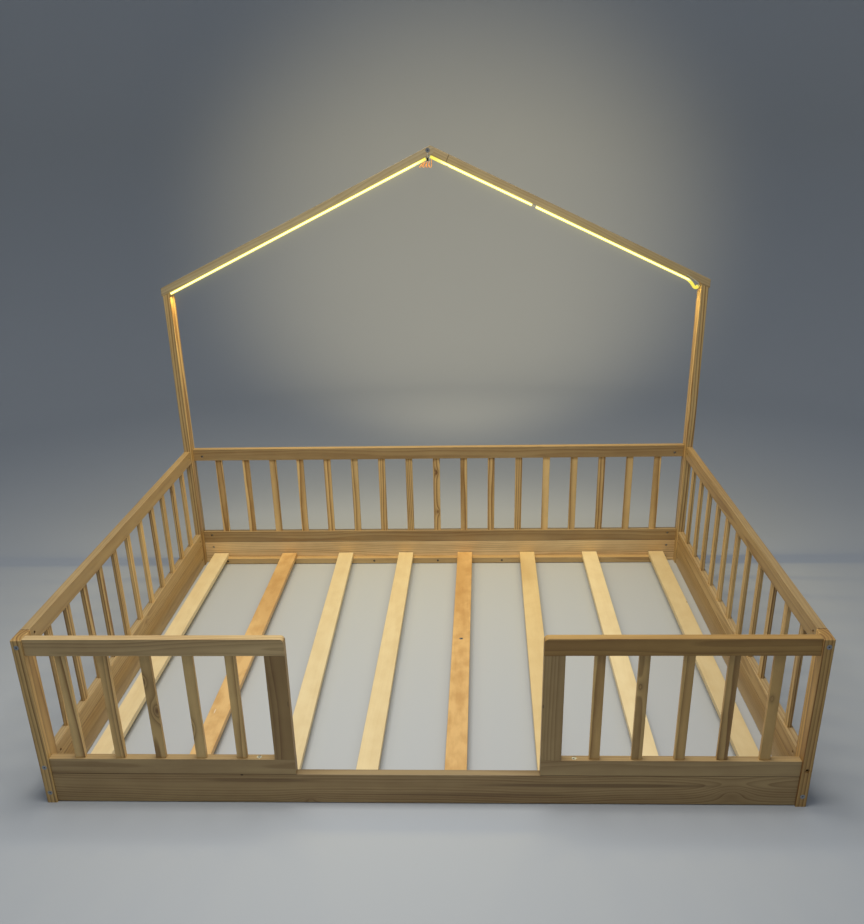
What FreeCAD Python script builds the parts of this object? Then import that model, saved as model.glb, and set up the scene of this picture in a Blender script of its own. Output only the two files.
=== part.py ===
import FreeCAD, Part
import math
import os

os.makedirs("parts", exist_ok=True)

Vector = FreeCAD.Vector

# A house frame bed: a slatted floor bed with baluster walls on three sides, two guard
# panels either side of a front entrance, and a gable of two rafters on the tall back posts.
# X runs along the long side, Y from front to back, Z up. The origin is on the floor at the
# middle of the frame.

# Overall frame, over the posts' outer faces
frame_length = 2056.0
frame_width = 1662.0

# Timber of the posts and rafters
timber_width = 28.0
timber_depth = 60.0
timber_edge = 2.0

# Rails
rail_thickness = 24.0
rail_height = 48.0
rail_edge = 1.2
bed_rail_height = 92.0
floor_gap = 2.0
end_inset = 5.0
side_inset = 1.0
guard_height = 506.0

# Front guards and the entrance between them
left_guard_length = 668.0
right_guard_length = 680.0
stile_width = 54.0
guard_corner_radius = 12.0
# how much narrower the gaps at a guard's ends are than the gaps between its balusters
left_guard_post_trim = 10.0
left_guard_stile_trim = 7.0
right_guard_post_trim = 2.0
right_guard_stile_trim = 10.0

# Balusters and their tenons
baluster_width = 28.0
baluster_thickness = 12.0
baluster_edge = 1.5
back_baluster_count = 17
side_baluster_count = 11
guard_baluster_count = 5
tenon_length = 10.0
tenon_thickness = 8.0
tenon_shoulder = 3.5
mortise_clearance = 0.2
mortise_end_gap = 0.5

# Slats on two ledgers, and the foot below the middle of the bed
slat_count = 8
slat_width = 62.0
slat_thickness = 18.0
slat_edge = 1.5
slat_end_gap = 4.0
slat_left_margin = 40.0
slat_right_margin = 59.0
slat_2_drift = 28.5
slat_3_drift = 21.8
slat_4_drift = -3.6
slat_5_drift = -18.0
slat_6_drift = -20.5
slat_7_drift = -11.0
slat_8_drift = 8.3
slat_2_skew = 5.6
slat_3_skew = -20.3
slat_4_skew = 18.4
slat_5_skew = 22.0
slat_6_skew = 28.0
slat_7_skew = 6.9
ledger_depth = 24.0
ledger_height = 24.0
ledger_end_margin = 73.0
foot_slat = 5
foot_size = 50.0
foot_y = 27.0

# Gable
eave_height = 1121.0
roof_pitch = math.radians(24.6)
eave_overhang = 5.0
lap_front = 18.0
lap_back = 40.0

# Connector bolts with flat heads and barrel nuts
bolt_radius = 3.0
bolt_clearance = 0.5
rail_bolt_clearance = 1.0
head_radius = 6.5
head_thickness = 2.4
head_sink = 0.2
head_clearance = 0.3
socket_width = 4.0
socket_depth = 1.6
bolt_tip = 6.0
barrel_radius = 4.7
barrel_clearance = 0.3
barrel_length = 14.0
barrel_sink = 4.0
barrel_bore_depth = 19.0
thread_clearance = 0.1
slot_width = 1.2
slot_depth = 1.0
long_grip = 24.0
short_grip = 35.0
bore_runout = 1.0
end_bolt_bed_rise = 31.0
end_bolt_low_rise = 22.0
end_bolt_top_drop = 21.0
side_bolt_bed_rise = 18.0
side_bolt_bed_drop = 24.0
side_bolt_low_rise = 32.0
side_bolt_top_drop = 31.0
left_guard_bolt_inset = 44.0
right_guard_bolt_inset = 35.0

# Ridge bolt with a sleeve nut
ridge_bolt_x = -8.0
ridge_bolt_drop = 16.0
ridge_head_radius = 7.5
sleeve_radius = 4.0
sleeve_length = 20.0

# Wood screws
screw_radius = 2.5
screw_head_radius = 4.6
screw_head_height = 2.8
screw_length = 44.0
screw_clearance = 0.15
ledger_screw_pitch = 272.0
ledger_screw_end = 27.0
rafter_screw_margin = 15.0

# Light strip below the rafters
strip_width = 12.0
strip_thickness = 10.0
strip_setback = 2.0
strip_gap = 0.3
splice_x = 373.0
splice_gap = 15.0
splice_width = 5.0
splice_thickness = 4.5
loop_post_gap = 5.9
loop_depth = 12.3
loop_radius = 8.5
loop_entry = math.radians(35.4)

# Thin tail from the strip's curled end, stuck to the front of the rafter
tail_radius = 1.5
tail_exit_bend = 3.0
tail_top_bend = 6.0
tail_exit_drop = 3.7
tail_reach = 46.0
tail_end_rise = 8.0

# Connector below the ridge
connector_width = 8.0
connector_depth = 6.0
connector_height = 14.0
connector_x = -9.0
connector_edge = 1.0

# Surplus lead folded to and fro below the connector, one hairpin behind the other
hank_wire = 2.0
hank_loops = 4
hank_layer = 4.0
hank_bend = 2.0
hank_top_x = -24.0
hank_top_pitch = 6.9
hank_base_x = -41.0
hank_base_pitch = 12.3
hank_leg_spacing = 8.8
hank_height = 17.4
hank_fall = 0.055
hank_clearance = 0.6
hank_exit = 3.6

# Stations worked out from the sizes above
x_outer = frame_length / 2
x_inner = x_outer - timber_width
x_side_out = x_outer - side_inset
x_side_in = x_side_out - rail_thickness
x_side_mid = x_side_out - rail_thickness / 2
y_outer = frame_width / 2
y_inner = y_outer - timber_depth
y_rail_out = y_outer - end_inset
y_rail_in = y_rail_out - rail_thickness
y_rail_mid = y_rail_out - rail_thickness / 2
z_bed_top = floor_gap + bed_rail_height
z_low_top = z_bed_top + rail_height
z_top_under = guard_height - rail_height
z_ledger_top = floor_gap + ledger_height
z_slat_top = z_ledger_top + slat_thickness
x_left_stile = -x_inner + left_guard_length
x_right_stile = x_inner - right_guard_length
roof_slope = math.tan(roof_pitch)
rafter_drop = timber_width / math.cos(roof_pitch)
x_eave = x_outer + eave_overhang
empty_hole_height = z_bed_top + end_bolt_low_rise
end_bolt_heights = (floor_gap + end_bolt_bed_rise, empty_hole_height, guard_height - end_bolt_top_drop)
side_bolt_heights = (floor_gap + side_bolt_bed_rise, z_bed_top - side_bolt_bed_drop,
                     z_bed_top + side_bolt_low_rise, guard_height - side_bolt_top_drop)


def underside(x):
    """Height of the rafters' underside at x."""
    return eave_height + (x_outer - abs(x)) * roof_slope


def rooftop(x):
    """Height of the rafters' top face at x."""
    return underside(x) + rafter_drop


def box(x0, x1, y0, y1, z0, z1):
    corner = Vector(min(x0, x1), min(y0, y1), min(z0, z1))
    return Part.makeBox(abs(x1 - x0), abs(y1 - y0), abs(z1 - z0), corner)


def prism(points, y0, y1):
    """Solid with a polygon of (x, z) points as its section, from y0 to y1."""
    corners = [Vector(x, y0, z) for x, z in points]
    wire = Part.makePolygon(corners + corners[:1])
    return Part.Face(wire).extrude(Vector(0, y1 - y0, 0))


def eased(shape, radius, keep=lambda edge: True):
    """Round the straight edges that keep picks."""
    edges = [edge for edge in shape.Edges if keep(edge)]
    return shape.makeFillet(radius, edges)


def runs_along(axis):
    """Pick the edges parallel to one axis."""
    def keep(edge):
        span = edge.lastVertex().Point - edge.firstVertex().Point
        return abs(abs(span.normalize().dot(axis)) - 1) < 1e-6
    return keep


def not_at_floor(edge):
    """Pick every edge that has some height above the floor."""
    return edge.BoundBox.ZMax > timber_edge


def board(x0, x1, y0, y1, z0, z1, axis, radius=rail_edge):
    """Board with its long edges rounded."""
    return eased(box(x0, x1, y0, y1, z0, z1), radius, runs_along(axis))


def rod(start, direction, radius, length):
    return Part.makeCylinder(radius, length, start, direction)


def cut_all(shape, tools):
    """Cut the tools that reach the shape's own box."""
    near = [tool for tool in tools if tool.BoundBox.intersect(shape.BoundBox)]
    return shape.cut(near) if near else shape


def export(name, solids):
    shape = solids[0] if len(solids) == 1 else Part.makeCompound(solids)
    shape.exportStep("parts/" + name + ".step")


# Connector bolts and barrel nuts

X = Vector(1, 0, 0)
Y = Vector(0, 1, 0)
Z = Vector(0, 0, 1)


def bolt(start, direction, length, head=head_radius):
    """Bolt with a flat head just below the surface at start, and a hex socket."""
    seat = start + direction * head_sink
    solid = rod(seat, direction, head, head_thickness)
    solid = solid.fuse(rod(seat, direction, bolt_radius, length))
    corner = socket_width / math.sqrt(3)
    side = Vector(direction.y, direction.z, direction.x)
    across = direction.cross(side)
    points = []
    for step in range(7):
        angle = math.radians(60 * step)
        points.append(seat + side * (corner * math.cos(angle)) + across * (corner * math.sin(angle)))
    socket = Part.Face(Part.makePolygon(points)).extrude(direction * socket_depth)
    return solid.cut(socket)


def bolt_bore(start, direction, length, head=head_radius):
    """Clearance hole and head recess for one bolt."""
    recess = rod(start, direction, head + head_clearance, head_sink + head_thickness)
    return recess.fuse(rod(start, direction, bolt_radius + bolt_clearance, length))


def barrel_nut(mouth, direction, bolt_axis):
    """Barrel nut below the mouth of its bore, cross-drilled for the bolt."""
    solid = rod(mouth + direction * barrel_sink, direction, barrel_radius, barrel_length)
    cross = mouth + direction * (rail_thickness / 2) - bolt_axis * (2 * barrel_radius)
    solid = solid.cut(rod(cross, bolt_axis, bolt_radius + thread_clearance, 4 * barrel_radius))
    slot = Part.makeBox(2 * barrel_radius, slot_width, 2 * slot_depth)
    slot.translate(Vector(-barrel_radius, -slot_width / 2, -slot_depth))
    slot.Placement = FreeCAD.Placement(mouth + direction * barrel_sink,
                                       FreeCAD.Rotation(Z, direction)).multiply(slot.Placement)
    return solid.cut(slot)


long_bolts = []
short_bolts = []
barrel_nuts = []
bores = []
rail_bores = []


def add_joint(start, direction, grip_depth, grip, mouth_shift, filled=True):
    """One bolt from start through grip_depth of timber into a barrel nut grip deep in the rail."""
    length = grip_depth + grip + bolt_tip
    bore_length = length + head_sink + bore_runout
    bores.append(bolt_bore(start, direction, bore_length))
    rail_bores.append(rod(start + direction * grip_depth, direction,
                          bolt_radius + rail_bolt_clearance, bore_length - grip_depth))
    mouth = start + direction * (grip_depth + grip) + mouth_shift
    inward = mouth_shift * (-1 / mouth_shift.Length)
    bores.append(rod(mouth, inward, barrel_radius + barrel_clearance, barrel_bore_depth))
    barrel_nuts.append(barrel_nut(mouth, inward, direction))
    return bolt(start, direction, length) if filled else None


half_rail = rail_thickness / 2
for side_x in (-1, 1):
    for side_y in (-1, 1):
        for height in end_bolt_heights:
            face = Vector(side_x * x_side_mid, side_y * y_outer, height)
            filled = not (side_x == 1 and side_y == -1 and height == empty_hole_height)
            fastener = add_joint(face, Y * -side_y, timber_depth, long_grip,
                                 X * (-side_x * half_rail), filled)
            if fastener:
                long_bolts.append(fastener)
        for height in side_bolt_heights:
            face = Vector(side_x * x_outer, side_y * y_rail_mid, height)
            short_bolts.append(add_joint(face, X * -side_x, timber_width, short_grip,
                                         Y * (-side_y * half_rail)))

# One bolt down through each guard's bottom rail into the front bed rail
guard_bolt_xs = (x_left_stile - stile_width - left_guard_bolt_inset,
                 x_right_stile + stile_width + right_guard_bolt_inset)
for guard_bolt_x in guard_bolt_xs:
    face = Vector(guard_bolt_x, -y_rail_mid, z_low_top)
    long_bolts.append(add_joint(face, Z * -1, rail_height, long_grip, Y * half_rail))

# Ridge bolt

ridge_bolt_z = rooftop(0) - ridge_bolt_drop
ridge_front = Vector(ridge_bolt_x, y_inner, ridge_bolt_z)
ridge_back = Vector(ridge_bolt_x, y_outer, ridge_bolt_z)
ridge_length = timber_depth - head_thickness - 2 * head_sink - sleeve_length / 2
ridge_bolt = bolt(ridge_front, Y, ridge_length, ridge_head_radius)
sleeve_seat = ridge_back - Y * head_sink
ridge_nut = rod(sleeve_seat, Y * -1, ridge_head_radius, head_thickness)
ridge_nut = ridge_nut.fuse(rod(sleeve_seat, Y * -1, sleeve_radius, sleeve_length))
thread = rod(sleeve_seat - Y * head_thickness, Y * -1, bolt_radius + thread_clearance, sleeve_length)
ridge_nut = ridge_nut.cut(thread)
bores.append(bolt_bore(ridge_front, Y, timber_depth, ridge_head_radius))
sleeve_bore = rod(ridge_back, Y * -1, ridge_head_radius + head_clearance, head_sink + head_thickness)
bores.append(sleeve_bore)
bores.append(rod(ridge_back, Y * -1, sleeve_radius + barrel_clearance, sleeve_length + bore_runout))

# Wood screws


def screw(start, direction, extra=0.0):
    """Countersunk screw with its head flush at start, grown by extra for its hole."""
    cone = Part.makeCone(screw_head_radius + extra, screw_radius + extra, screw_head_height,
                         start, direction)
    return cone.fuse(rod(start, direction, screw_radius + extra, screw_length + extra))


ledger_end = x_side_in - ledger_end_margin
screw_places = []
for side_y in (-1, 1):
    ledger_face = side_y * (y_rail_in - ledger_depth)
    screw_z = floor_gap + ledger_height / 2
    for screw_x in (-ledger_end + ledger_screw_end, -ledger_screw_pitch, 0.0, ledger_screw_pitch,
                    ledger_end - ledger_screw_end):
        screw_places.append((Vector(screw_x, ledger_face, screw_z), Y * side_y))
for side_x in (-1, 1):
    down = Vector(-side_x * math.sin(roof_pitch), 0, -math.cos(roof_pitch))
    screw_x = side_x * (x_outer - timber_width / 2) - down.x * timber_width
    for screw_y in (y_inner + rafter_screw_margin, y_outer - rafter_screw_margin):
        screw_places.append((Vector(screw_x, screw_y, rooftop(screw_x)), down))
wood_screws = [screw(start, direction) for start, direction in screw_places]
bores += [screw(start, direction, screw_clearance) for start, direction in screw_places]

# Balusters and stiles: uprights with a tenon at each end

mortises = []


def upright(centre, width, thickness, along):
    """Upright between the low and the top rail, its width running along X or Y."""
    def part(half_width, half_thickness, z0, z1):
        dx, dy = (half_width, half_thickness) if along == X else (half_thickness, half_width)
        return box(centre.x - dx, centre.x + dx, centre.y - dy, centre.y + dy, z0, z1)

    body = eased(part(width / 2, thickness / 2, z_low_top, z_top_under), baluster_edge, runs_along(Z))
    half_width = width / 2 - tenon_shoulder
    half_thickness = tenon_thickness / 2
    body = body.fuse(part(half_width, half_thickness, z_low_top - tenon_length,
                          z_top_under + tenon_length))
    reach = tenon_length + mortise_end_gap
    wide = half_width + mortise_clearance
    deep = half_thickness + mortise_clearance
    mortises.append(part(wide, deep, z_low_top - reach, z_low_top))
    mortises.append(part(wide, deep, z_top_under, z_top_under + reach))
    return body.removeSplitter()


def spread(start, end, count, start_trim=0.0, end_trim=0.0):
    """Centres of count balusters with equal gaps between them, and end gaps less by the trims."""
    gap = (end - start - count * baluster_width + start_trim + end_trim) / (count + 1)
    first = start + gap - start_trim + baluster_width / 2
    return [first + i * (gap + baluster_width) for i in range(count)]


back_balusters = [upright(Vector(x, y_rail_mid, 0), baluster_width, baluster_thickness, X)
                  for x in spread(-x_inner, x_inner, back_baluster_count)]
side_balusters = {}
for name, side_x in (("left", -1), ("right", 1)):
    side_balusters[name] = [upright(Vector(side_x * x_side_mid, y, 0), baluster_width,
                                    baluster_thickness, Y)
                            for y in spread(-y_inner, y_inner, side_baluster_count)]
guard_centres = {
    "left": spread(-x_inner, x_left_stile - stile_width, guard_baluster_count,
                   left_guard_post_trim, left_guard_stile_trim),
    "right": spread(x_right_stile + stile_width, x_inner, guard_baluster_count,
                    right_guard_stile_trim, right_guard_post_trim),
}
guard_balusters = {}
for name, centres in guard_centres.items():
    guard_balusters[name] = [upright(Vector(x, -y_rail_mid, 0), baluster_width,
                                     baluster_thickness, X)
                             for x in centres]
stile_centres = {"left": x_left_stile - stile_width / 2, "right": x_right_stile + stile_width / 2}
stiles = {name: upright(Vector(x, -y_rail_mid, 0), stile_width, rail_thickness, X)
          for name, x in stile_centres.items()}

export("back_balusters", back_balusters)
for name in ("left", "right"):
    export(name + "_side_balusters", side_balusters[name])
    for number, baluster in enumerate(guard_balusters[name], start=1):
        export("front_%s_baluster_%d" % (name, number), [baluster])
    export("front_%s_stile" % name, [stiles[name]])

# Posts


def front_post(side_x):
    solid = box(side_x * x_inner, side_x * x_outer, -y_outer, -y_inner, 0, guard_height)
    return cut_all(eased(solid, timber_edge, not_at_floor), bores)


def back_post(side_x):
    """Tall post cut at the roof's pitch where the rafter sits on it."""
    section = [(side_x * x_inner, 0), (side_x * x_outer, 0),
               (side_x * x_outer, underside(x_outer)), (side_x * x_inner, underside(x_inner))]
    solid = eased(prism(section, y_inner, y_outer), timber_edge, runs_along(Z))
    return cut_all(solid, bores)


for name, side_x in (("left", -1), ("right", 1)):
    export("front_%s_post" % name, [front_post(side_x)])
    export("back_%s_post" % name, [back_post(side_x)])

# Rails

cuts = bores + rail_bores + mortises


def rail(name, solid):
    export(name, [cut_all(solid, cuts)])


rail_levels = {"bed": (floor_gap, z_bed_top), "bottom": (z_bed_top, z_low_top),
               "top": (z_top_under, guard_height)}
for level, (z0, z1) in rail_levels.items():
    rail("back_%s_rail" % level, board(-x_inner, x_inner, y_rail_in, y_rail_out, z0, z1, X))
    for name, side_x in (("left", -1), ("right", 1)):
        rail("%s_%s_rail" % (name, level),
             board(side_x * x_side_in, side_x * x_side_out, -y_inner, y_inner, z0, z1, Y))

rail("front_bed_rail", board(-x_inner, x_inner, -y_rail_out, -y_rail_in, floor_gap, z_bed_top, X))


def guard_rail(x_post, x_end, z0, z1, rounded):
    """Guard rail from a post to its stile's far face, with a rounded top corner if asked."""
    solid = box(x_post, x_end, -y_rail_out, -y_rail_in, z0, z1)
    if rounded:
        def end_corner(edge):
            centre = edge.BoundBox.Center
            return abs(centre.x - x_end) < 1e-6 and abs(centre.z - z1) < 1e-6
        solid = eased(solid, guard_corner_radius, end_corner)
    return eased(solid, rail_edge, lambda edge: edge.Curve.TypeId == "Part::GeomLine"
                 and runs_along(X)(edge))


for name, x_post, x_end in (("left", -x_inner, x_left_stile), ("right", x_inner, x_right_stile)):
    rail("front_%s_top_rail" % name, guard_rail(x_post, x_end, z_top_under, guard_height, True))
    rail("front_%s_bottom_rail" % name, guard_rail(x_post, x_end, z_bed_top, z_low_top, False))

# Ledgers, slats and the middle foot

for name, side_y in (("front", -1), ("back", 1)):
    ledger = board(-ledger_end, ledger_end, side_y * (y_rail_in - ledger_depth), side_y * y_rail_in,
                   floor_gap, z_ledger_top, X)
    export("%s_ledger" % name, [cut_all(ledger, bores)])

slat_first = -x_side_in + slat_left_margin + slat_width / 2
slat_last = x_side_in - slat_right_margin - slat_width / 2
slat_pitch = (slat_last - slat_first) / (slat_count - 1)
slat_end = y_rail_in - slat_end_gap
slat_drift = {2: slat_2_drift, 3: slat_3_drift, 4: slat_4_drift, 5: slat_5_drift,
              6: slat_6_drift, 7: slat_7_drift, 8: slat_8_drift}
slat_skew = {2: slat_2_skew, 3: slat_3_skew, 4: slat_4_skew, 5: slat_5_skew,
             6: slat_6_skew, 7: slat_7_skew}


def slat_centre(number):
    return slat_first + (number - 1) * slat_pitch + slat_drift.get(number, 0.0)


def slat_lean(number):
    """Sideways shift of a slat for each millimetre along it."""
    return slat_skew.get(number, 0.0) / (2 * slat_end)


foot_x = slat_centre(foot_slat) + foot_y * slat_lean(foot_slat)
foot_top = Vector(foot_x, foot_y, z_slat_top)
foot_bolt_length = slat_thickness + z_ledger_top - bolt_tip
foot_bore = bolt_bore(foot_top, Z * -1, foot_bolt_length + bore_runout)
for number in range(1, slat_count + 1):
    x = slat_centre(number)
    slat = board(x - slat_width / 2, x + slat_width / 2, -slat_end, slat_end,
                 z_ledger_top, z_slat_top, Y, slat_edge)
    slat.rotate(Vector(x, 0, 0), Z, -math.degrees(math.atan(slat_lean(number))))
    export("slat_%d" % number, [cut_all(slat, [foot_bore])])
foot = eased(box(foot_x - foot_size / 2, foot_x + foot_size / 2, foot_y - foot_size / 2,
                 foot_y + foot_size / 2, 0, z_ledger_top), timber_edge, runs_along(Z))
export("centre_foot", [foot.cut(foot_bore)])
export("foot_bolt", [bolt(foot_top, Z * -1, foot_bolt_length)])

# Rafters, half-lapped at the ridge


def seam(x_top, side_x):
    """Square cut across the rafter on side_x, from its top face at x_top to its underside."""
    x_low = x_top - side_x * timber_width * math.sin(roof_pitch)
    return [(x_top, rooftop(x_top)), (x_low, underside(x_low))]


def rafter_half(side_x, y0, y1, x_seam):
    """Half of a rafter's depth, ending at the ridge's lap seam at x_seam."""
    eave = [(side_x * x_eave, underside(x_eave)), (side_x * x_eave, rooftop(x_eave))]
    seam_side = math.copysign(1, x_seam)
    top, low = seam(x_seam, seam_side)
    past_ridge = seam_side != side_x
    peak = [(0.0, rooftop(0))] if past_ridge else []
    crotch = [(0.0, underside(0))] if past_ridge else []
    return prism(eave + peak + [top, low] + crotch, y0, y1)


y_lap = (y_inner + y_outer) / 2
for name, side_x in (("left", -1), ("right", 1)):
    rafter = rafter_half(side_x, y_inner, y_lap, lap_front)
    rafter = rafter.fuse(rafter_half(side_x, y_lap, y_outer, -lap_back)).removeSplitter()

    def eave_edge(edge):
        bounds = edge.BoundBox
        on_face = min(abs(bounds.YMin - y_inner), abs(bounds.YMax - y_outer)) < 1e-6
        flat = bounds.YLength < 1e-6
        along = bounds.XLength > x_inner / 2
        eave = abs(bounds.Center.x - side_x * x_eave) < 1e-6
        return on_face and flat and (along or eave)
    rafter = eased(rafter, timber_edge, eave_edge)
    export("%s_rafter" % name, [cut_all(rafter, bores)])

# Light strip


def ribbon(start, heading, steps, thickness, y0, y1):
    """Flat tape standing along Y, following lines and tangent arcs from start in the XZ plane.

    A step is (length, 0) for a line or (radius, turn) for an arc, turns to the left positive.
    """
    left = []
    right = []
    x, z = start

    def at(px, pz, angle, offset):
        return Vector(px - offset * math.sin(angle), y0, pz + offset * math.cos(angle))

    for size, turn in steps:
        ends = []
        if turn == 0:
            after = (x + size * math.cos(heading), z + size * math.sin(heading), heading)
        else:
            way = math.copysign(size, turn)
            cx = x - way * math.sin(heading)
            cz = z + way * math.cos(heading)
            ends = [(cx + way * math.sin(angle), cz - way * math.cos(angle), angle)
                    for angle in (heading + turn / 2, heading + turn)]
            after = ends[1]
        for edges, offset in ((left, thickness / 2), (right, -thickness / 2)):
            first = at(x, z, heading, offset)
            last = at(*after, offset)
            if turn == 0:
                edges.append(Part.LineSegment(first, last).toShape())
            else:
                edges.append(Part.Arc(first, at(*ends[0], offset), last).toShape())
        x, z, heading = after
    caps = [Part.LineSegment(left[0].firstVertex().Point, right[0].firstVertex().Point).toShape(),
            Part.LineSegment(left[-1].lastVertex().Point, right[-1].lastVertex().Point).toShape()]
    outline = Part.Wire(Part.__sortEdges__(left + right + caps))
    return Part.Face(outline).extrude(Vector(0, y1 - y0, 0))


def below_rafter(x, depth):
    """Point at x, depth below the rafter's underside, measured square to it."""
    return (x, underside(x) - depth / math.cos(roof_pitch))


strip_front = y_inner + strip_setback
strip_back = strip_front + strip_width
strip_depth = strip_gap + strip_thickness / 2


def strip_along(x0, x1, thickness, y0, y1):
    """Straight ribbon at the strip's depth between two stations, with square ends."""
    start = below_rafter(x0, strip_depth)
    end = below_rafter(x1, strip_depth)
    run = math.hypot(end[0] - start[0], end[1] - start[1])
    heading = math.atan2(end[1] - start[1], end[0] - start[0])
    return ribbon(start, heading, [(run, 0)], thickness, y0, y1)


end_lean = strip_thickness / 2 * math.sin(roof_pitch)
splice_start = splice_x - splice_gap / 2
splice_end = splice_x + splice_gap / 2
left_start = -x_inner + strip_gap + end_lean
left_end = connector_x - connector_width / 2 - strip_gap - end_lean
export("light_strip_left",
       [strip_along(left_start, left_end, strip_thickness, strip_front, strip_back)])
export("light_strip_right_upper",
       [strip_along(strip_gap, splice_start, strip_thickness, strip_front, strip_back)])
splice_front = (strip_front + strip_back - splice_width) / 2
export("light_strip_splice",
       [strip_along(splice_start, splice_end, splice_thickness, splice_front,
                    splice_front + splice_width)])

# The lower right strip leaves the rafter near its end, dives and curls up
loop_x = x_inner - loop_post_gap - strip_thickness / 2 - loop_radius
loop_centre = below_rafter(loop_x, loop_depth)
entry_heading = -roof_pitch - loop_entry
entry_x = loop_centre[0] + loop_radius * math.sin(entry_heading)
entry_z = loop_centre[1] - loop_radius * math.cos(entry_heading)
strip_origin = below_rafter(splice_end, strip_depth)
entry_run = ((entry_x - strip_origin[0]) * math.cos(roof_pitch)
             - (entry_z - strip_origin[1]) * math.sin(roof_pitch))
entry_drop = (underside(entry_x) - entry_z) * math.cos(roof_pitch) - strip_depth
peel_radius = entry_drop / (1 - math.cos(loop_entry))
export("light_strip_right_lower",
       [ribbon(strip_origin, -roof_pitch,
               [(entry_run - peel_radius * math.sin(loop_entry), 0), (peel_radius, -loop_entry),
                (loop_radius, math.pi / 2 - entry_heading)],
               strip_thickness, strip_front, strip_back)])


def bent_path(points, bends):
    """Wire of straight runs from point to point, with a tangent arc at each inner point."""
    edges = []
    start = points[0]
    for before, corner, after, bend in zip(points, points[1:], points[2:], bends):
        arriving = (corner - before).normalize()
        leaving = (after - corner).normalize()
        half_turn = arriving.getAngle(leaving) / 2
        trim = bend * math.tan(half_turn)
        inward = (leaving - arriving).normalize()
        first = corner - arriving * trim
        last = corner + leaving * trim
        middle = corner + inward * (bend / math.cos(half_turn) - bend)
        if (first - start).Length > 1e-6:
            edges.append(Part.LineSegment(start, first).toShape())
        edges.append(Part.Arc(first, middle, last).toShape())
        start = last
    edges.append(Part.LineSegment(start, points[-1]).toShape())
    return Part.Wire(edges)


def tube(path, radius):
    """Round tube of one radius along a wire."""
    first = path.OrderedEdges[0]
    direction = first.lastVertex().Point - first.firstVertex().Point
    section = Part.Wire(Part.makeCircle(radius, first.firstVertex().Point, direction))
    return path.makePipeShell([section], True)


# The tail comes out of the curl's front face and runs up the front of the rafter
tail_x = loop_centre[0] + loop_radius
tail_y = y_inner - strip_gap - tail_radius
tail_exit_z = loop_centre[1] - tail_exit_drop
tail_end_x = tail_x - tail_reach
tail_points = [Vector(tail_x, strip_front, tail_exit_z), Vector(tail_x, tail_y, tail_exit_z),
               Vector(tail_x, tail_y, underside(tail_x)),
               Vector(tail_end_x, tail_y, underside(tail_end_x) + tail_end_rise)]
export("light_strip_tail", [tube(bent_path(tail_points, [tail_exit_bend, tail_top_bend]), tail_radius)])

# The connector hangs between the two strips' upper ends
strip_middle = (strip_front + strip_back) / 2
connector_left = connector_x - connector_width / 2
connector_top = underside(connector_left) - strip_gap
connector_bottom = connector_top - connector_height
connector = box(connector_left, connector_x + connector_width / 2,
                strip_middle - connector_depth / 2, strip_middle + connector_depth / 2,
                connector_bottom, connector_top)
export("ridge_connector", [eased(connector, connector_edge)])

# Lead hank


def hank_layer_y(loop):
    return strip_middle + (loop - (hank_loops - 1) / 2) * hank_layer


def hank_base(loop, leg):
    """Corner at the foot of one leg of a hairpin, before its turn is rounded."""
    x = hank_base_x + loop * hank_base_pitch + leg * hank_leg_spacing
    z = hank_top_z - hank_height - (x - hank_base_x) * hank_fall
    return Vector(x, hank_layer_y(loop), z)


def strip_end(x, y, side_x):
    """Where a lead meets the strip's lower face, and the corner square below it."""
    x_face, z_face = below_rafter(x + side_x * hank_exit * math.sin(roof_pitch),
                                  strip_gap + strip_thickness)
    down = Vector(-side_x * math.sin(roof_pitch), 0, -math.cos(roof_pitch))
    face = Vector(x_face, y, z_face)
    return face, face + down * hank_exit


def foot_bend(before, left, right, after):
    """Radius of the one arc that touches both legs of a hairpin and the line between their feet."""
    across = right - left
    first = (left - before).getAngle(across)
    second = across.getAngle(after - right)
    return across.Length / (math.tan(first / 2) + math.tan(second / 2))


hank_top_z = connector_bottom - hank_clearance - hank_wire / 2
hank_start, hank_corner = strip_end(hank_top_x, hank_layer_y(0), -1)
hank_points = [hank_start, hank_corner]
hank_bends = [hank_bend]
for loop in range(hank_loops):
    feet = [hank_base(loop, 0), hank_base(loop, 1)]
    top_x = hank_top_x + (loop + 1) * hank_top_pitch
    if loop < hank_loops - 1:
        tops = [Vector(top_x, hank_layer_y(loop), hank_top_z),
                Vector(top_x, hank_layer_y(loop + 1), hank_top_z)]
        top_bends = [hank_layer / 2, hank_layer / 2]
    else:
        last_face, last_corner = strip_end(top_x, hank_layer_y(loop), 1)
        tops = [last_corner, last_face]
        top_bends = [hank_bend]
    foot_radius = foot_bend(hank_points[-1], feet[0], feet[1], tops[0])
    hank_bends += [foot_radius, foot_radius] + top_bends
    hank_points += feet + tops

hank_path = bent_path(hank_points, hank_bends)
export("lead_hank", [tube(hank_path, hank_wire / 2)])

# Least gap of the lead to itself, between points at least half a turn of its tightest bend apart
gap_step = hank_wire / 8
path_points = hank_path.discretize(Distance=gap_step)
tightest = min(hank_bends)
apart = math.ceil(math.pi * tightest / (hank_path.Length / (len(path_points) - 1)))
least = min(first.distanceToPoint(second)
            for index, first in enumerate(path_points[:-apart])
            for second in path_points[index + apart:])
print("lead hank: length %.1f mm, tightest bend %.2f mm, least gap to itself %.2f mm"
      % (hank_path.Length, tightest, least - hank_wire))

# Fasteners

export("long_connector_bolts", long_bolts)
export("short_connector_bolts", short_bolts)
export("barrel_nuts", barrel_nuts)
export("wood_screws", wood_screws)
export("ridge_bolt", [ridge_bolt])
export("ridge_nut", [ridge_nut])
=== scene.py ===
import math

import bpy
import numpy as np
from mathutils import Matrix, Vector


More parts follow.
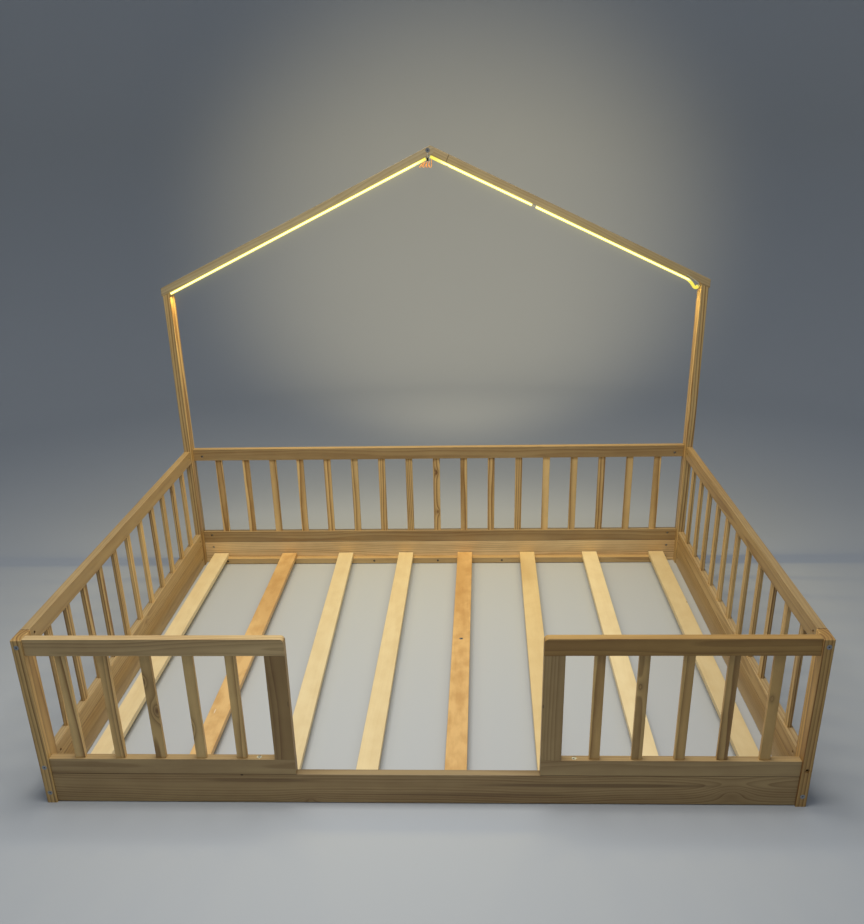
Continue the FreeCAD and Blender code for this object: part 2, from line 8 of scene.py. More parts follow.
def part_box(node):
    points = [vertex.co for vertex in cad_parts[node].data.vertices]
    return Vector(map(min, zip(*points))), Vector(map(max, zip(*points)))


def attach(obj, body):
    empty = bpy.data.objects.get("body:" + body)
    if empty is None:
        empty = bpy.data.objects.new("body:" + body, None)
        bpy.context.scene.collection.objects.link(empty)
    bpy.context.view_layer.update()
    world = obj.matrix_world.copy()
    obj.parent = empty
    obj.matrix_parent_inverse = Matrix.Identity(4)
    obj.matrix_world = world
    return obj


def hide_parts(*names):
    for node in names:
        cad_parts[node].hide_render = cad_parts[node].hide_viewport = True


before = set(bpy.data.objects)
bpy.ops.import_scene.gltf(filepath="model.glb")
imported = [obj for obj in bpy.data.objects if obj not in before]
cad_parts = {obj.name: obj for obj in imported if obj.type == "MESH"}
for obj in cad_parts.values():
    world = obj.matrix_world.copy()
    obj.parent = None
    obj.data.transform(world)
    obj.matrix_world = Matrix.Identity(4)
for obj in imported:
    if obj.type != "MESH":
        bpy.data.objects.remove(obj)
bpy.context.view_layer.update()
print("stage: the packed bed is loaded")


# Camera, solved from the photograph

cameraView = {
    "place": (0.13486, -2.87005, 1.62046),
    "pitch": -0.4311,
    "roll": -0.0224,
    "yaw": 0.0442,
    "focalPixels": 935.13,
    "axisPixel": (432.0, 576.0),
    "imagePixels": (864, 924),
    "sensor": 36.0,
    "clip": (0.05, 60.0),
}


def placeCamera(view):
    # the axes come from yaw, then pitch, then roll about the line of sight
    yaw, pitch, roll = view["yaw"], view["pitch"], view["roll"]
    ahead = Vector((-math.sin(yaw), math.cos(yaw), 0))
    side = Vector((math.cos(yaw), math.sin(yaw), 0))
    top = Vector((0, 0, 1))
    forward = ahead * math.cos(pitch) + top * math.sin(pitch)
    lifted = top * math.cos(pitch) - ahead * math.sin(pitch)
    right = side * math.cos(roll) + lifted * math.sin(roll)
    up = lifted * math.cos(roll) - side * math.sin(roll)
    lens = bpy.data.cameras.new("photoLens")
    width, height = view["imagePixels"]
    longSide = max(width, height)
    lens.sensor_width = view["sensor"]
    lens.lens = view["sensor"] * view["focalPixels"] / longSide
    lens.shift_x = (width / 2 - view["axisPixel"][0]) / longSide
    lens.shift_y = (view["axisPixel"][1] - height / 2) / longSide
    lens.clip_start, lens.clip_end = view["clip"]
    camera = bpy.data.objects.new("photoCamera", lens)
    turned = Matrix((right, up, -forward)).transposed().to_4x4()
    turned.translation = view["place"]
    camera.matrix_world = turned
    bpy.context.scene.collection.objects.link(camera)
    bpy.context.scene.camera = camera


placeCamera(cameraView)
print("stage: camera placed")


# Shader maths

eastWest, frontBack, upDown = (1.0, 0.0, 0.0), (0.0, 1.0, 0.0), (0.0, 0.0, 1.0)


class Value:
    # one output socket: sums and products on it add Math nodes
    def __init__(self, finish, socket):
        self.finish = finish
        self.socket = socket

    def maths(self, operation, *terms):
        return self.finish.add("ShaderNodeMath", {"operation": operation}, dict(enumerate(terms)))

    def __add__(self, other):
        return self.maths("ADD", self, other)

    __radd__ = __add__

    def __sub__(self, other):
        return self.maths("SUBTRACT", self, other)

    def __rsub__(self, other):
        return self.maths("SUBTRACT", other, self)

    def __mul__(self, other):
        return self.maths("MULTIPLY", self, other)

    __rmul__ = __mul__

    def __truediv__(self, other):
        return self.maths("DIVIDE", self, other)

    def __rtruediv__(self, other):
        return self.maths("DIVIDE", other, self)

    def __pow__(self, other):
        return self.maths("POWER", self, other)

    def __abs__(self):
        return self.maths("ABSOLUTE", self)

    def floor(self):
        return self.maths("FLOOR", self)

    def fraction(self):
        return self.maths("FRACT", self)

    def root(self):
        return self.maths("SQRT", self)

    def least(self, other):
        return self.maths("MINIMUM", self, other)

    def most(self, other):
        return self.maths("MAXIMUM", self, other)

    def rise(self, low, high):
        # smooth step from 0 at low to 1 at high
        return self.finish.add("ShaderNodeMapRange", {"interpolation_type": "SMOOTHSTEP"},
                               {"Value": self, "From Min": low, "From Max": high})


class Finish:
    # one material with a Principled shader, and the node calls that fill it
    def __init__(self, name, **constants):
        self.material = bpy.data.materials.new(name)
        self.material.use_nodes = True
        self.nodes = self.material.node_tree.nodes
        self.links = self.material.node_tree.links
        self.shader = self.nodes["Principled BSDF"]
        for socket, value in constants.items():
            self.shader.inputs[socket.replace("_", " ")].default_value = value
        self.coordinates = self.add("ShaderNodeTexCoord", output="Object")

    def add(self, kind, settings=None, inputs=None, output=0):
        node = self.nodes.new(kind)
        for key, setting in (settings or {}).items():
            setattr(node, key, setting)
        for key, value in (inputs or {}).items():
            if isinstance(value, Value):
                self.links.new(value.socket, node.inputs[key])
            else:
                node.inputs[key].default_value = value
        return Value(self, node.outputs[output])

    def along(self, direction):
        # distance of the surface along one direction
        return self.add("ShaderNodeVectorMath", {"operation": "DOT_PRODUCT"},
                        {0: self.coordinates, 1: tuple(direction)}, output="Value")

    def point(self, x, y, z):
        return self.add("ShaderNodeCombineXYZ", None, {0: x, 1: y, 2: z})

    def noise(self, x, y, z, detail=2.0, rough=0.5):
        return self.add("ShaderNodeTexNoise", None, {"Vector": self.point(x, y, z), "Scale": 1.0,
                                                     "Detail": detail, "Roughness": rough})

    def cloudy(self, steps, detail=2.0):
        # noise with this many clouds to the metre, the same or different on the three axes
        steps = steps if isinstance(steps, tuple) else (steps,) * 3
        spots = [self.along(axis) * step for axis, step in zip((eastWest, frontBack, upDown), steps)]
        return self.noise(*spots, detail=detail)

    def chance(self, value):
        # one random number for each whole number
        return self.add("ShaderNodeTexWhiteNoise", {"noise_dimensions": "1D"}, {"W": value})

    def tint(self, factor, first, second, mode="MIX"):
        return self.add("ShaderNodeMix", {"data_type": "RGBA", "blend_type": mode},
                        {0: factor, 6: shade(first), 7: shade(second)}, output=2)

    def near(self, place, size, edge=(0.6, 1.2)):
        # 1 inside an ellipsoid of these half sizes, fading out at its soft edge
        offset = self.add("ShaderNodeVectorMath", {"operation": "SUBTRACT"},
                          {0: self.coordinates, 1: tuple(place)})
        scaled = self.add("ShaderNodeVectorMath", {"operation": "DIVIDE"},
                          {0: offset, 1: tuple(size)})
        reach = self.add("ShaderNodeVectorMath", {"operation": "LENGTH"}, {0: scaled},
                         output="Value")
        return 1 - reach.rise(*edge)

    def facing(self, direction, edge=(0.75, 0.95)):
        # 1 where the surface faces along a direction, either way
        normal = self.add("ShaderNodeNewGeometry", output="Normal")
        turned = self.add("ShaderNodeVectorMath", {"operation": "DOT_PRODUCT"},
                          {0: normal, 1: tuple(direction)}, output="Value")
        return abs(turned).rise(*edge)

    def bump(self, height, depth, strength):
        return self.add("ShaderNodeBump", None, {"Height": height, "Distance": depth,
                                                 "Strength": strength})

    def feed(self, **links):
        for socket, value in links.items():
            self.links.new(value.socket, self.shader.inputs[socket.replace("_", " ")])
        return self.material


def shade(colour):
    # a colour gets its alpha, and a link stays as it is
    return (*colour, 1.0) if isinstance(colour, tuple) else colour


def dress(node, material):
    # a CAD node keeps its mesh and takes this material in every slot
    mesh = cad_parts[node].data
    mesh.materials.clear()
    mesh.materials.append(material)


# Pine

pineLook = {
    "pale": (0.565, 0.405, 0.190),
    "streak": (0.275, 0.155, 0.052),
    "ringWidth": 0.0075,       # one year's growth
    "ringDepth": 0.70,         # how dark the late wood is
    "fibreDepth": 0.30,
    "broadDepth": 1.15,        # slow streaks along the board
    "mottleDepth": 0.12,       # clouds across it
    "drift": 0.030,            # how far the rings wander along a board
    "pithNear": 0.022,         # least distance of a board from the heart
    "pithFar": 0.060,
    "knot": (0.17, 0.075, 0.022),
    "endGrain": 0.68,
    # colour of the painted shade in the creases where boards meet, and of the glue line
    "glueAndSeamShade": (0.10, 0.055, 0.02),
    "rough": 0.50,
    "coat": 0.08,
}

slatLook = dict(pineLook, pale=(0.86, 0.70, 0.40), streak=(0.60, 0.41, 0.17), ringDepth=0.10,
                broadDepth=0.45, mottleDepth=0.22, fibreDepth=0.24, rough=0.56)
orangeLook = dict(slatLook, pale=(0.74, 0.475, 0.19), streak=(0.43, 0.20, 0.045),
                  broadDepth=0.6, mottleDepth=0.55, rough=0.54)
balusterLook = dict(pineLook, pale=(0.70, 0.49, 0.205), streak=(0.27, 0.145, 0.042),
                    ringWidth=0.0068, ringDepth=1.25, drift=0.022, broadDepth=0.8)
postLook = dict(balusterLook, pale=(0.66, 0.465, 0.195), ringWidth=0.0088, ringDepth=1.35)


# How often each pattern changes to the metre, as (along the board, across it), then how much
# fine detail it has, and its strength
grainFigure = {
    "wander": (1.3, 3.0), "wanderToo": (1.1, 3.0),     # of the heart line, sideways and in depth
    "wanderApart": 40.0, "wanderDetail": 1.5,
    "heartShift": 0.02,                      # most that the heart line starts off the middle
    "ripple": ((9.0, 70.0), 2.0), "rippleDepth": 0.0016,
    "ringPower": 2.0, "ringEnd": 0.86,       # a ring darkens slowly and ends sharply
    "yearLeast": 0.45, "yearSpread": 0.9,    # some years are darker than others
    "fibre": ((16.0, 950.0), 3.0), "fibreRough": 0.6,
    "broad": ((1.1, 22.0), 2.5), "broadMean": 0.40,
    "cloud": (13.0, 24.0), "cloudDetail": 3.0, "cloudWarp": 3.0, "cloudEdges": (0.30, 0.72),
    "ground": 0.08,                          # darkness where nothing else shows
    "treeStep": 17.0,                        # how far apart in the tree two boards are cut
    "goldenGreen": 0.35,                     # share of a golden tone that green loses
    "endWarmth": (1.0, 0.92, 0.80),
    # width and strength of the dark lines where boards meet: painted shade in creases, and glue
    "glueAndSeamShadeEdges": (0.0003, 0.0013), "glueAndSeamShadeStrength": 0.8,
    "reliefRing": 0.5, "reliefFibre": 0.6, "relief": 0.0005, "reliefStrength": 0.35,
    "roughFibre": 0.14, "roughRing": 0.08,
    "coatRough": 0.35, "refraction": 1.48,
}

# A row of boards in one node: how far apart their places in the tree are, and their tones
rowFigure = {"length": 31.0, "across": 0.05, "deep": 0.04, "toneLeast": 0.82, "toneSpread": 0.30,
             "seeds": (13.7, 5.3), "seedApart": 40.5}

knotFigure = {
    "squeeze": 0.5,                  # knots are longer along the grain than across it
    "push": 1.6,                     # how far the rings part, against its radius
    "heart": (0.55, 1.05),           # where its own wood ends, against its radius
    "ring": (0.8, 2.6), "ringShare": 0.38,
}


def reachOf(place, direction):
    # how far a place lies along a direction
    return sum(a * b for a, b in zip(place, direction))


def figured(finish, u, v, w, pattern, rough=0.5):
    # noise stretched along the grain
    (along, beside), detail = pattern
    return finish.noise(u * along, v * beside, w * beside, detail=detail, rough=rough)


def placeInTree(finish, box, axes, seed, shift, cell):
    # a point of the wood along the grain, across it and in its depth, counted from the board's
    # middle, and what a row's board adds to its tone; each board is cut from its own place
    grain, across, deep = axes
    middle = [(a + b) / 2 for a, b in zip(*box)]
    lengthways, acrossValue = finish.along(grain), finish.along(across)
    depth = finish.along(deep) - reachOf(middle, deep)
    if cell is None:
        return (lengthways + shift * grainFigure["treeStep"],
                acrossValue - reachOf(middle, across), depth, None)
    row = rowFigure
    number = ((acrossValue - cell["first"]) / cell["pitch"] + 0.5).floor()
    luck = finish.chance(number + seed * row["seeds"][0])
    luckToo = finish.chance(number + seed * row["seeds"][1] + row["seedApart"])
    local = acrossValue - number * cell["pitch"] - cell["first"]
    return (lengthways + luck * row["length"], local + (luck - 0.5) * row["across"],
            depth + (luckToo - 0.5) * row["deep"], row["toneLeast"] + luckToo * row["toneSpread"])


def fromHeart(finish, look, u, v, w, seed, draws):
    # distance from a heart line that runs beside the board and wanders with slow noise
    heartAcross, heartDeep, side = draws
    figure = grainFigure
    detail = figure["wanderDetail"]
    along, beside = figure["wander"]
    alongToo, besideToo = figure["wanderToo"]
    slow = finish.noise(u * along, v * beside, w * beside + seed, detail=detail)
    slowToo = finish.noise(u * alongToo + figure["wanderApart"], v * besideToo,
                           w * besideToo - seed, detail=detail)
    spanDeep = look["pithNear"] + abs(heartDeep) * (look["pithFar"] - look["pithNear"])
    apart = v + (slow - 0.5) * (2 * look["drift"]) + heartAcross * figure["heartShift"]
    deeper = w + (slowToo - 0.5) * look["drift"] + math.copysign(spanDeep, side)
    ripple = figured(finish, u, v, w, figure["ripple"])
    distance = (apart * apart + deeper * deeper).root() + ripple * figure["rippleDepth"]
    return distance, slow, slowToo


def partRings(finish, distance, knots, grain, across):
    # the rings part round each knot, and its own wood is darker
    lengthways, acrossValue = finish.along(grain), finish.along(across)
    shape, darkSpot = knotFigure, None
    for place, radius, depth in knots:
        apart = (lengthways - reachOf(place, grain)) * shape["squeeze"]
        beside = acrossValue - reachOf(place, across)
        reach = (apart * apart + beside * beside).root() / radius
        distance = distance + radius * shape["push"] / (1 + reach * reach)
        heart = (1 - reach.rise(*shape["heart"])) * depth
        ring = (1 - reach.rise(*shape["ring"])) * (depth * shape["ringShare"])
        spot = heart.most(ring)
        darkSpot = spot if darkSpot is None else darkSpot.most(spot)
    return distance, darkSpot


def timber(name, box, axes, seed, look, tone, cell, traits, joints):
    # rings are steps of the distance from the heart, so they show as cathedrals on a face and
    # as arcs on an end; fibres, slow streaks and clouds lie over them
    figure = grainFigure
    finish = Finish(name, Coat_Weight=look["coat"], Coat_Roughness=figure["coatRough"],
                    IOR=figure["refraction"])
    grain, across, _ = axes
    heartAcross, heartDeep, side, shift = np.random.default_rng(seed).uniform(-1, 1, 4)
    u, v, w, rowTone = placeInTree(finish, box, axes, seed, shift, cell)
    distance, slow, slowToo = fromHeart(finish, look, u, v, w, seed, (heartAcross, heartDeep, side))
    distance, darkSpot = partRings(finish, distance, traits.get("knots", ()), grain, across)
    rings = distance / look["ringWidth"]
    year = rings.fraction()
    late = year ** figure["ringPower"] * (1 - year.rise(figure["ringEnd"], 1.0))
    yearLuck = finish.chance(rings.floor() + seed)
    late = late * (figure["yearLeast"] + yearLuck * figure["yearSpread"])
    fibre = figured(finish, u, v, w, figure["fibre"], figure["fibreRough"])
    broad = figured(finish, u, v, w, figure["broad"])
    (along, beside), warp = figure["cloud"], figure["cloudWarp"]
    cloud = finish.noise(u * along + slow * warp, v * beside + slowToo * warp, w * beside,
                         detail=figure["cloudDetail"])
    dark = late * look["ringDepth"] + (fibre - 0.5) * look["fibreDepth"]
    dark = dark + (broad - figure["broadMean"]) * look["broadDepth"]
    dark = dark + (cloud.rise(*figure["cloudEdges"]) - 0.5) * look["mottleDepth"] + figure["ground"]
    # a board's tone: partly its own colour, partly painted light and shade
    light, golden = tone
    warm = (light, light * (1 - golden * figure["goldenGreen"]), light * (1 - golden))
    pale = tuple(a * b for a, b in zip(look["pale"], warm))
    streak = tuple(a * b for a, b in zip(look["streak"], warm))
    colour = finish.tint(dark.most(0.0).least(1.0), pale, streak)
    if rowTone is not None:
        colour = finish.tint(1.0, colour, finish.point(rowTone, rowTone, rowTone), "MULTIPLY")
    if darkSpot is not None:
        colour = finish.tint(darkSpot, colour, look["knot"])
    endShade = tuple(look["endGrain"] * share for share in figure["endWarmth"])
    colour = finish.tint(finish.facing(grain), colour, finish.tint(1.0, colour, endShade, "MULTIPLY"))
    # dark lines where boards meet: painted shade in the creases at rails and posts, and a real glue
    # line on the right rafter
    for direction, station in joints:
        line = 1 - abs(finish.along(direction) - station).rise(*figure["glueAndSeamShadeEdges"])
        colour = finish.tint(line * figure["glueAndSeamShadeStrength"], colour, look["glueAndSeamShade"])
    # stains, scratches and patches of colour, and a painted highlight on the front bed rail's top
    # edge
    for place, size, paint, strength in traits.get("marksAndHighlight", ()):
        colour = finish.tint(finish.near(place, size) * strength, colour, paint)
    relief = late * figure["reliefRing"] + fibre * figure["reliefFibre"]
    rough = look["rough"] + (fibre - 0.5) * figure["roughFibre"] - late * figure["roughRing"]
    return finish.feed(Base_Color=colour, Roughness=rough,
                       Normal=finish.bump(relief, figure["relief"], figure["reliefStrength"]))


roofPitch = math.radians(24.6)
rafterGrain = {"left": (math.cos(roofPitch), 0.0, math.sin(roofPitch)),
               "right": (math.cos(roofPitch), 0.0, -math.sin(roofPitch))}
rafterDeep = {"left": (-math.sin(roofPitch), 0.0, math.cos(roofPitch)),
              "right": (math.sin(roofPitch), 0.0, math.cos(roofPitch))}

# What the photograph shows on single boards: knots as (place, radius, darkness), and marks as
# (place, half sizes, colour, strength); one mark on the front bed rail is a painted highlight
boardTraits = {
    "front_left_baluster_3": {
        "knots": [((-0.7085, -0.82, 0.380), 0.008, 0.50), ((-0.686, -0.82, 0.290), 0.011, 0.40)]},
    "front_left_baluster_4": {"knots": [((-0.601, -0.82, 0.238), 0.009, 0.3)]},
    "front_right_baluster_2": {"knots": [((0.566, -0.82, 0.365), 0.006, 0.25)]},
    "front_right_baluster_5": {"knots": [((0.900, -0.82, 0.330), 0.005, 0.30)]},
    "back_balusters": {
        "knots": [((0.0002, 0.808, 0.397), 0.0062, 0.95), ((0.004, 0.808, 0.225), 0.006, 0.6)]},
    "left_side_balusters": {"knots": [((-1.009, 0.504, 0.426), 0.007, 0.9)]},
    "left_bottom_rail": {"knots": [((-1.003, 0.017, 0.118), 0.007, 0.5)]},
    "front_bed_rail": {
        "knots": [((0.83, -0.826, 0.040), 0.026, 0.08), ((-0.30, -0.826, 0.012), 0.010, 0.25)],
        # the first is a painted highlight: the rail's top edge is lighter where the light from above
        # falls on it
        "marksAndHighlight": [((0.0, -0.826, 0.0942), (0.37, 0.03, 0.0012), (0.60, 0.45, 0.23), 0.35),
                  ((-0.48, -0.826, 0.0925), (0.004, 0.002, 0.003), (0.07, 0.035, 0.012), 0.9),
                  ((-0.43, -0.826, 0.074), (0.16, 0.003, 0.006), (0.15, 0.075, 0.022), 0.55),
                  ((0.46, -0.826, 0.062), (0.34, 0.003, 0.007), (0.15, 0.075, 0.022), 0.62),
                  ((0.15, -0.826, 0.030), (0.30, 0.003, 0.006), (0.16, 0.08, 0.025), 0.45)]},
    "front_left_post": {
        "marksAndHighlight": [((-0.9876, -0.831, 0.304), (0.004, 0.004, 0.005), (0.12, 0.06, 0.02), 0.9)]},
    "slat_2": {
        "marksAndHighlight": [((-0.655, -0.44, 0.044), (0.0022, 0.014, 0.004), (0.90, 0.80, 0.62), 0.55),
                  ((-0.60, 0.42, 0.044), (0.10, 0.30, 0.02), (0.42, 0.21, 0.055), 0.35)]},
    "slat_5": {
        "marksAndHighlight": [((0.04, 0.47, 0.044), (0.10, 0.34, 0.02), (0.45, 0.215, 0.05), 0.45),
                  ((0.04, 0.02, 0.044), (0.034, 0.05, 0.01), (0.44, 0.22, 0.06), 0.35)]},
    "slat_6": {
        "marksAndHighlight": [((0.30, 0.60, 0.044), (0.10, 0.16, 0.02), (0.50, 0.30, 0.10), 0.40)]},
    "slat_8": {
        "marksAndHighlight": [((0.9526, 0.312, 0.044), (0.005, 0.007, 0.004), (0.30, 0.17, 0.06), 0.8)]},
    "front_left_stile": {
        "marksAndHighlight": [((-0.336, -0.826, 0.315), (0.0015, 0.006, 0.010), (0.10, 0.05, 0.02), 0.5)]},
    "front_right_stile": {
        "marksAndHighlight": [((0.3225, -0.826, 0.31), (0.002, 0.006, 0.006), (0.10, 0.05, 0.02), 0.6)]},
}

# Single boards' tones, partly their own colour and partly painted light and shade: how light against
# the rest, and how much more golden
boardToneAndPaintedLight = {
    "front_bed_rail": (0.88, 0.14), "back_bed_rail": (1.62, -0.12),
    "left_bed_rail": (0.96, 0.10), "right_bed_rail": (0.90, 0.10),
    "front_left_top_rail": (1.19, 0.0), "front_right_top_rail": (0.88, 0.50),
    "front_left_bottom_rail": (0.92, 0.08), "front_right_bottom_rail": (0.95, 0.08),
    "front_left_stile": (0.74, 0.30), "front_right_stile": (0.92, 0.15),
    "back_top_rail": (0.80, 0.10), "back_bottom_rail": (0.84, 0.10),
    "left_top_rail": (0.82, 0.08), "right_top_rail": (0.78, 0.14),
    "front_left_post": (1.10, 0.20), "front_right_post": (1.08, 0.32),
    "left_rafter": (0.95, -0.32), "right_rafter": (0.96, -0.12),
    "front_ledger": (1.12, 0.10), "back_ledger": (1.12, 0.10),
    "slat_1": (0.95, 0.0), "slat_3": (0.90, 0.0), "slat_4": (0.90, 0.05),
    "slat_5": (0.98, 0.08), "slat_6": (0.87, 0.22), "slat_8": (0.82, 0.08),
    "front_left_baluster_1": (1.32, 0.06), "front_left_baluster_2": (1.30, 0.10),
    "front_left_baluster_3": (1.10, 0.10), "front_left_baluster_4": (1.16, 0.06),
    "front_left_baluster_5": (1.30, 0.08), "front_right_baluster_1": (1.38, 0.16),
    "front_right_baluster_2": (1.05, 0.16), "front_right_baluster_3": (1.22, 0.20),
    "front_right_baluster_4": (1.02, 0.20), "front_right_baluster_5": (1.12, 0.24),
    "back_balusters": (1.24, 0.0), "left_side_balusters": (1.12, 0.0),
}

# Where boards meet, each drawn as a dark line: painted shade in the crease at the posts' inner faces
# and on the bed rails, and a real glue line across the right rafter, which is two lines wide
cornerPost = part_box("front_left_post")
meeting = {
    "halfLength": -cornerPost[1][0], "halfWidth": -cornerPost[1][1],
    "bedRailTop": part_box("front_bed_rail")[1][2],
    "glueLine": (0.0578, 0.0, 1.5715), "glueWidth": 0.0014,
}
balusterRows = {
    "back_balusters": (meeting["halfLength"], 17),
    "left_side_balusters": (meeting["halfWidth"], 11),
    "right_side_balusters": (meeting["halfWidth"], 11),
}
balusterWidth = 0.028
timberWords = ("rail", "post", "stile", "baluster", "slat_", "ledger", "rafter", "foot")


def jointsOf(name, grain):
    # planes where this board meets its neighbours, as (direction, place along it); the rails' lines
    # are painted shade in the creases, the rafter's are glue
    found = []
    if name == "right_rafter":
        glueLine = reachOf(meeting["glueLine"], grain)
        found += [(grain, glueLine), (grain, glueLine + meeting["glueWidth"])]
    if "rail" in name:
        if "top" not in name:
            found.append((upDown, meeting["bedRailTop"]))
        ends = meeting["halfLength"] if grain == eastWest else meeting["halfWidth"]
        found += [(grain, -ends), (grain, ends)]
    return found


def evenRow(name):
    # first place and spacing of boards with equal gaps between two posts
    if name not in balusterRows:
        return None
    half, count = balusterRows[name]
    gap = (2 * half - count * balusterWidth) / (count + 1)
    return {"first": gap + balusterWidth / 2 - half, "pitch": gap + balusterWidth}


def boardAxes(name):
    # directions along a board's grain, across it and through its depth
    sideWall = name.startswith(("left", "right"))
    if "rafter" in name:
        side = name.split("_")[0]
        return rafterGrain[side], frontBack, rafterDeep[side]
    if "slat_" in name:
        return frontBack, eastWest, upDown
    if "post" in name or ("baluster" in name and sideWall):
        return upDown, frontBack, eastWest
    if "baluster" in name or "stile" in name or "foot" in name:
        return upDown, eastWest, frontBack
    return (frontBack, upDown, eastWest) if sideWall else (eastWest, upDown, frontBack)


def boardLook(name):
    if "slat_" in name:
        return orangeLook if name in ("slat_2", "slat_5") else slatLook
    if "baluster" in name:
        return balusterLook
    return postLook if "post" in name else pineLook


def dressTimber():
    names = [name for name in sorted(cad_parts)
             if "bolt" not in name and any(word in name for word in timberWords)]
    for seed, name in enumerate(names, start=3):
        axes = boardAxes(name)
        dress(name, timber(name + "Wood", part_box(name), axes, seed, boardLook(name),
                           boardToneAndPaintedLight.get(name, (1.0, 0.0)), evenRow(name),
                           boardTraits.get(name, {}), jointsOf(name, axes[0])))


dressTimber()
print("stage: timber finished")


# Fasteners

metalLook = {
    "zinc": (0.50, 0.52, 0.54), "zincDull": (0.24, 0.26, 0.28), "zincRough": 0.36,
    "zincMetal": 0.95,
    "screw": (0.045, 0.038, 0.032), "screwWorn": (0.16, 0.13, 0.10), "screwRough": 0.42,
    "screwMetal": 0.7,
    # colour and shares of the painted shade in the heads' sockets, which also takes away most of the
    # metal there
    "socketShade": (0.012, 0.012, 0.014), "socketShadeShare": 0.93, "socketShadePlate": 0.9,
    "cloud": 420.0, "scratch": (2600.0, 300.0, 2600.0),
    "cloudShare": 0.75, "scratchShare": 0.35,
    "cloudLoss": 0.05,                      # how much less of a metal the clouds are
    "roughSpread": 0.22, "scratchDepth": 0.0001, "scratchStrength": 0.25,
    "socketDepth": 0.0016, "planeEdge": 0.0001,
}


def metal(name, bright, dull, rough, metallic, sockets=()):
    # cloudy plating: two scales of noise between a bright and a dull tone, and painted shade in the
    # sockets, which lie between a plane just inside the heads' faces and one behind it
    look = metalLook
    finish = Finish(name)
    cloud = finish.cloudy(look["cloud"], detail=3.0)
    scratch = finish.cloudy(look["scratch"])
    worn = (cloud * look["cloudShare"] + scratch * look["scratchShare"]).least(1.0)
    colour = finish.tint(worn, bright, dull)
    plated = 1.0 - cloud * look["cloudLoss"]
    edge = look["planeEdge"]
    # painted shade: each socket is darkened and made less metallic where its recess lies in shade
    for direction, face in sockets:
        station = finish.along(direction)
        behind = (station - (face - look["socketDepth"])).rise(0.0, edge)
        inside = behind * (1 - (station - face).rise(0.0, edge))
        colour = finish.tint(inside * look["socketShadeShare"], colour, look["socketShade"])
        plated = plated * (1 - inside * look["socketShadePlate"])
    relief = finish.bump(scratch, look["scratchDepth"], look["scratchStrength"])
    return finish.feed(Base_Color=colour, Metallic=plated * metallic, Normal=relief,
                       Roughness=rough + (cloud - 0.5) * look["roughSpread"])


def insideOf(node, end, axis, depth=0.0005):
    # how far out a plane lies that is this far below a node's low (0) or high (1) end
    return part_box(node)[end][axis] * (1 if end else -1) - depth


# Each socket's direction out of the head, and the plane just inside the head's face
headSockets = {
    "long_connector_bolts": [
        ((0.0, -1.0, 0.0), insideOf("front_left_post", 0, 1)),
        (frontBack, insideOf("back_left_post", 1, 1)),
        (upDown, insideOf("front_left_bottom_rail", 1, 2))],
    "short_connector_bolts": [
        ((-1.0, 0.0, 0.0), insideOf("front_left_post", 0, 0)),
        (eastWest, insideOf("front_right_post", 1, 0))],
    "ridge_bolt": [((0.0, -1.0, 0.0), insideOf("ridge_bolt", 0, 1, 0.0002))],
    "foot_bolt": [(upDown, insideOf("foot_bolt", 1, 2, 0.0003))],
}
for node in ("long_connector_bolts", "short_connector_bolts", "foot_bolt", "ridge_bolt",
             "ridge_nut", "barrel_nuts"):
    dress(node, metal(node + "Zinc", metalLook["zinc"], metalLook["zincDull"],
                      metalLook["zincRough"], metalLook["zincMetal"], headSockets.get(node, ())))
dress("wood_screws", metal("darkScrewPlate", metalLook["screw"], metalLook["screwWorn"],
                           metalLook["screwRough"], metalLook["screwMetal"]))
print("stage: fasteners finished")


# Light strip

stripLook = {
    "core": (0.98, 0.93, 0.52),
    "fringe": (0.50, 0.42, 0.020),
    "strength": 1.5,
    "depth": 0.0053, "halfThick": 0.005,    # of the strip below the rafter, and of its section
    "front": 0.779, "halfWide": 0.006,
    "eave": 1.121, "outer": 1.028,          # the rafters' underside, above the posts' outer faces
    "edge": (0.20, 0.90),                   # where the light falls off towards a face's corners
    "ridgeFade": (0.016, 0.060),
    "curl": (0.948, 0.962), "curlShare": 0.95,
    "beads": 60.0, "beadsDim": 0.9, "beadsSpread": 0.2,
    "shell": (0.60, 0.56, 0.22), "shellDark": (0.52, 0.47, 0.16),
    "coat": 0.2, "rough": 0.35, "roughSpread": 0.15,
    "smudge": ((0.0585, 0.776, 1.5535), (0.007, 0.006, 0.0035)),
    "smudgeColour": (0.01, 0.008, 0.002), "smudgeShare": 0.9,
}


def underRafter(distance):
    # height of the rafters' underside at this distance from the middle of the bed
    return (stripLook["outer"] - distance) * math.tan(roofPitch) + stripLook["eave"]


def litSilicone(name, mirror):
    # the light is full along the middle of each face, falls off to its corners, and fades to
    # yellow near the ridge and in the curl at the right end
    look = stripLook
    finish = Finish(name, Emission_Strength=look["strength"], Coat_Weight=look["coat"])
    distance = finish.along(eastWest) * mirror
    below = underRafter(distance) - finish.along(upDown)
    depth = (below * math.cos(roofPitch) - look["depth"]) / look["halfThick"]
    wide = (finish.along(frontBack) - look["front"]) / look["halfWide"]
    core = 1 - abs(depth).least(abs(wide)).rise(*look["edge"])
    core = core * distance.rise(*look["ridgeFade"])
    if mirror > 0:
        core = core * (1 - distance.rise(*look["curl"]) * look["curlShare"])
    beads = finish.cloudy(look["beads"], detail=1.0)
    lit = (core * (look["beadsDim"] + beads * look["beadsSpread"])).least(1.0)
    colour = finish.tint(lit, look["fringe"], look["core"])
    if mirror > 0:
        place, size = look["smudge"]
        smudge = finish.near(place, size) * look["smudgeShare"]
        colour = finish.tint(smudge, colour, look["smudgeColour"])
    return finish.feed(Base_Color=finish.tint(beads, look["shell"], look["shellDark"]),
                       Emission_Color=colour, Roughness=look["rough"] + beads * look["roughSpread"])


